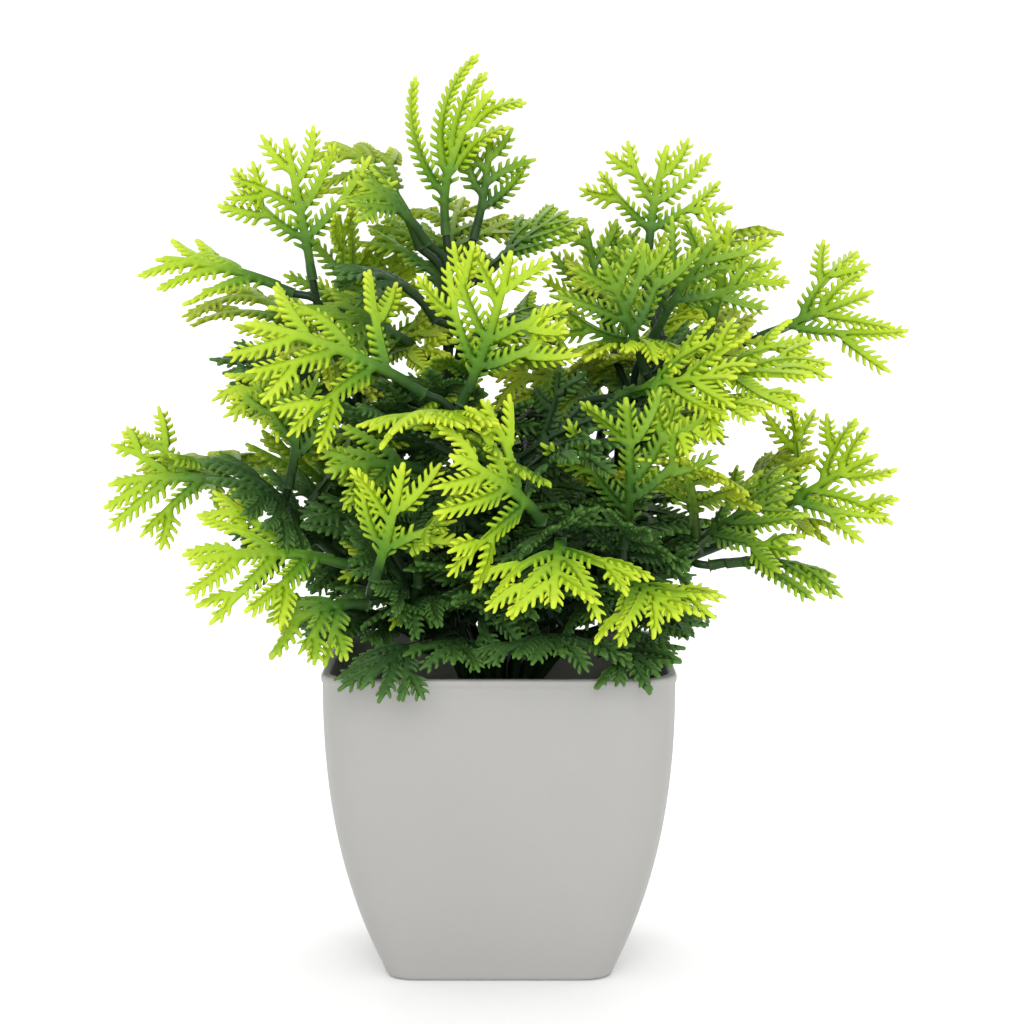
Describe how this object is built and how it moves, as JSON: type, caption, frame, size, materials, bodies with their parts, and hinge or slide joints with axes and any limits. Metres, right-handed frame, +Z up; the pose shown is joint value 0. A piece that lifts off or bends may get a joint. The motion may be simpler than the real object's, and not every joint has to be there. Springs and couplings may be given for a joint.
{
  "type": "artificial tabletop tree",
  "caption": "Small artificial cypress in a square tapered pot: moulded toothed fronds pushed onto bendable stems planted in a cast filler.",
  "frame": {"origin": "centre of the flat underside of the pot", "axes": "+Z up, along the pot axis; the front of the bush faces -Y and +X is to its right"},
  "size_m": [0.1705, 0.1365, 0.1971],
  "materials": {
    "pot": "satin, warm light grey moulded plastic",
    "filler": "rough cast pulp and plaster",
    "stem": "dark green moulded soft plastic, slightly glossy",
    "foliage_dark": "dark bluish green soft plastic",
    "foliage_mid": "mid green soft plastic with yellow-green tips",
    "foliage_bright": "bright yellow-green soft plastic",
    "foliage_olive": "olive yellow-green soft plastic"
  },
  "bodies": {
    "root": {"pot": "pot", "filler_block": "filler", "crown": "stem", "skirt_frond_1": "foliage_dark", "skirt_frond_2": "foliage_dark", "skirt_frond_3": "foliage_dark"},
    "top": {"stem_top": "stem", "top_frond_1": "foliage_bright", "top_frond_2": "foliage_mid", "top_frond_3": "foliage_olive", "top_frond_4": "foliage_mid", "top_frond_5": "foliage_mid", "top_frond_6": "foliage_dark", "top_frond_7": "foliage_olive"},
    "upper_left": {"stem_upper_left": "stem", "upper_left_frond_1": "foliage_bright", "upper_left_frond_2": "foliage_bright", "upper_left_frond_3": "foliage_dark", "upper_left_frond_4": "foliage_mid", "upper_left_frond_5": "foliage_olive"},
    "left": {"stem_left": "stem", "left_frond_1": "foliage_bright", "left_frond_2": "foliage_mid", "left_frond_3": "foliage_olive"},
    "front_left": {"stem_front_left": "stem", "front_left_frond_1": "foliage_bright", "front_left_frond_2": "foliage_bright", "front_left_frond_3": "foliage_mid"},
    "front": {"stem_front": "stem", "front_frond_1": "foliage_bright", "front_frond_2": "foliage_bright", "front_frond_3": "foliage_bright", "front_frond_4": "foliage_bright", "front_frond_5": "foliage_bright"},
    "right": {"stem_right": "stem", "right_frond_1": "foliage_bright", "right_frond_2": "foliage_mid", "right_frond_3": "foliage_bright", "right_frond_4": "foliage_mid", "right_frond_5": "foliage_olive"},
    "upper_right": {"stem_upper_right": "stem", "upper_right_frond_1": "foliage_bright", "upper_right_frond_2": "foliage_olive", "upper_right_frond_3": "foliage_bright", "upper_right_frond_4": "foliage_bright", "upper_right_frond_5": "foliage_bright", "upper_right_frond_6": "foliage_mid", "upper_right_frond_7": "foliage_mid"},
    "back_right": {"stem_back_right": "stem", "back_right_frond_1": "foliage_bright", "back_right_frond_2": "foliage_olive", "back_right_frond_3": "foliage_bright", "back_right_frond_4": "foliage_mid", "back_right_frond_5": "foliage_mid"},
    "back_left": {"stem_back_left": "stem", "back_left_frond_1": "foliage_bright", "back_left_frond_2": "foliage_bright", "back_left_frond_3": "foliage_olive", "back_left_frond_4": "foliage_mid", "back_left_frond_5": "foliage_mid"}
  },
  "joints": [
    {"name": "top_stem_lean", "type": "hinge", "parent": "root", "child": "top", "pos_m": [0, 0, 0.0607], "axis": [0, 1, 0], "range_deg": [-3, 4]},
    {"name": "upper_left_stem_lean", "type": "hinge", "parent": "root", "child": "upper_left", "pos_m": [-0.0062, 0.00226, 0.0607], "axis": [-0.342, -0.9397, 0], "range_deg": [-2, 8]},
    {"name": "left_stem_lean", "type": "hinge", "parent": "root", "child": "left", "pos_m": [-0.00638, -0.00171, 0.0607], "axis": [0.2588, -0.9659, 0], "range_deg": [-3, 8]},
    {"name": "front_left_stem_lean", "type": "hinge", "parent": "root", "child": "front_left", "pos_m": [-0.00424, -0.00506, 0.0607], "axis": [0.766, -0.6428, 0], "range_deg": [-3, 5]},
    {"name": "front_stem_lean", "type": "hinge", "parent": "root", "child": "front", "pos_m": [-0.00058, -0.00657, 0.0607], "axis": [0.9962, -0.0872, 0], "range_deg": [-3, 8]},
    {"name": "right_stem_lean", "type": "hinge", "parent": "root", "child": "right", "pos_m": [0.00572, -0.0033, 0.0607], "axis": [0.5, 0.866, 0], "range_deg": [-3, 6]},
    {"name": "upper_right_stem_lean", "type": "hinge", "parent": "root", "child": "upper_right", "pos_m": [0.00638, 0.00171, 0.0607], "axis": [-0.2588, 0.9659, 0], "range_deg": [-3, 8]},
    {"name": "back_right_stem_lean", "type": "hinge", "parent": "root", "child": "back_right", "pos_m": [0.0033, 0.00572, 0.0607], "axis": [-0.866, 0.5, 0], "range_deg": [-3, 8]},
    {"name": "back_left_stem_lean", "type": "hinge", "parent": "root", "child": "back_left", "pos_m": [-0.0031, 0.00583, 0.0607], "axis": [-0.8829, -0.4695, 0], "range_deg": [-3, 8]}
  ]
}
